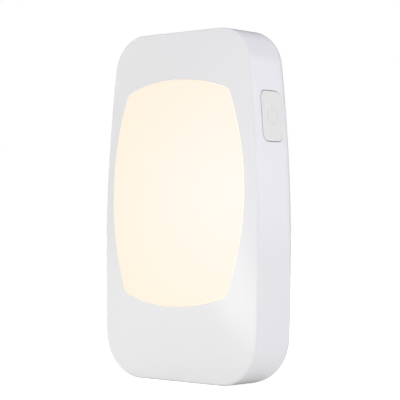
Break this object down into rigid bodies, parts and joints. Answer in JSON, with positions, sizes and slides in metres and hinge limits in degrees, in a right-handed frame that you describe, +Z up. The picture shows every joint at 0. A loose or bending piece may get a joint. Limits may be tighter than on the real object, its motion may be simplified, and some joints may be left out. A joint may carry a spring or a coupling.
{
  "type": "night light",
  "caption": "Plug-in LED night light: slab casing with a crowned front, barrel-shaped glowing window, side push button and a plug that folds into the back.",
  "frame": {"origin": "under the middle of the flat bottom end, at the middle of the depth", "axes": "+Z up the long side, front with the window facing -Y, push button on the +X side, plug in the +Y back"},
  "size_m": [0.0654, 0.0225, 0.11],
  "materials": {
    "casing_white": "smooth gloss moulding",
    "plate_white": "satin moulding",
    "well_white": "satin moulding",
    "carrier_white": "satin moulding",
    "opal_lens": "opal diffuser, lit from behind in warm white",
    "reflector_white": "matte white reflector",
    "button_grey": "satin translucent moulding",
    "board_green": "solder-resist lacquer",
    "led_phosphor": "phosphor resin",
    "sensor_clear": "clear epoxy",
    "film_yellow": "moulded box",
    "can_sleeve": "sleeved can",
    "chip_black": "moulded epoxy",
    "resistor_grey": "lacquered ceramic body",
    "stem_white": "moulded",
    "cell_sleeve": "shrink-sleeved steel can",
    "nickel_tab": "nickel strip",
    "lead_red": "insulated wire",
    "lead_black": "insulated wire",
    "lead_white": "insulated wire",
    "nickel_blade": "nickel-plated brass",
    "spring_brass": "spring bronze strip",
    "screw_steel": "zinc-plated steel"
  },
  "bodies": {
    "casing": {"front_shell": "casing_white", "back_plate": "plate_white", "plug_well": "well_white", "pivot_retainer": "well_white", "diffuser_lens": "opal_lens", "reflector_tray": "reflector_white", "light_board": "board_green", "led_chips": "led_phosphor", "light_sensor": "sensor_clear", "film_capacitor": "film_yellow", "electrolytic_capacitor": "can_sleeve", "bridge_rectifier": "chip_black", "control_chip": "chip_black", "switch_body": "chip_black", "chip_resistors": "chip_black", "fusible_resistor": "resistor_grey", "battery_cell": "cell_sleeve", "battery_tabs": "nickel_tab", "battery_lead_plus": "lead_red", "battery_lead_minus": "lead_black", "mains_lead_left": "lead_white", "mains_lead_right": "lead_white", "contact_spring_left": "spring_brass", "contact_spring_right": "spring_brass", "case_screws": "screw_steel", "board_screws": "screw_steel", "retainer_screws": "screw_steel"},
    "plug": {"plug_carrier": "carrier_white", "plug_blade_left": "nickel_blade", "plug_blade_right": "nickel_blade"},
    "button": {"side_button": "button_grey", "switch_stem": "stem_white"}
  },
  "joints": [
    {"name": "plug_fold", "type": "hinge", "parent": "casing", "child": "plug", "pos_m": [0, 0.00735, 0.072], "axis": [1, 0, 0], "range_deg": [0, 90]},
    {"name": "button_press", "type": "slide", "parent": "casing", "child": "button", "axis": [-1, 0, 0], "range_m": [0, 0.0007], "stiffness_N_per_m": 1500, "springref_m": -0.0004}
  ]
}
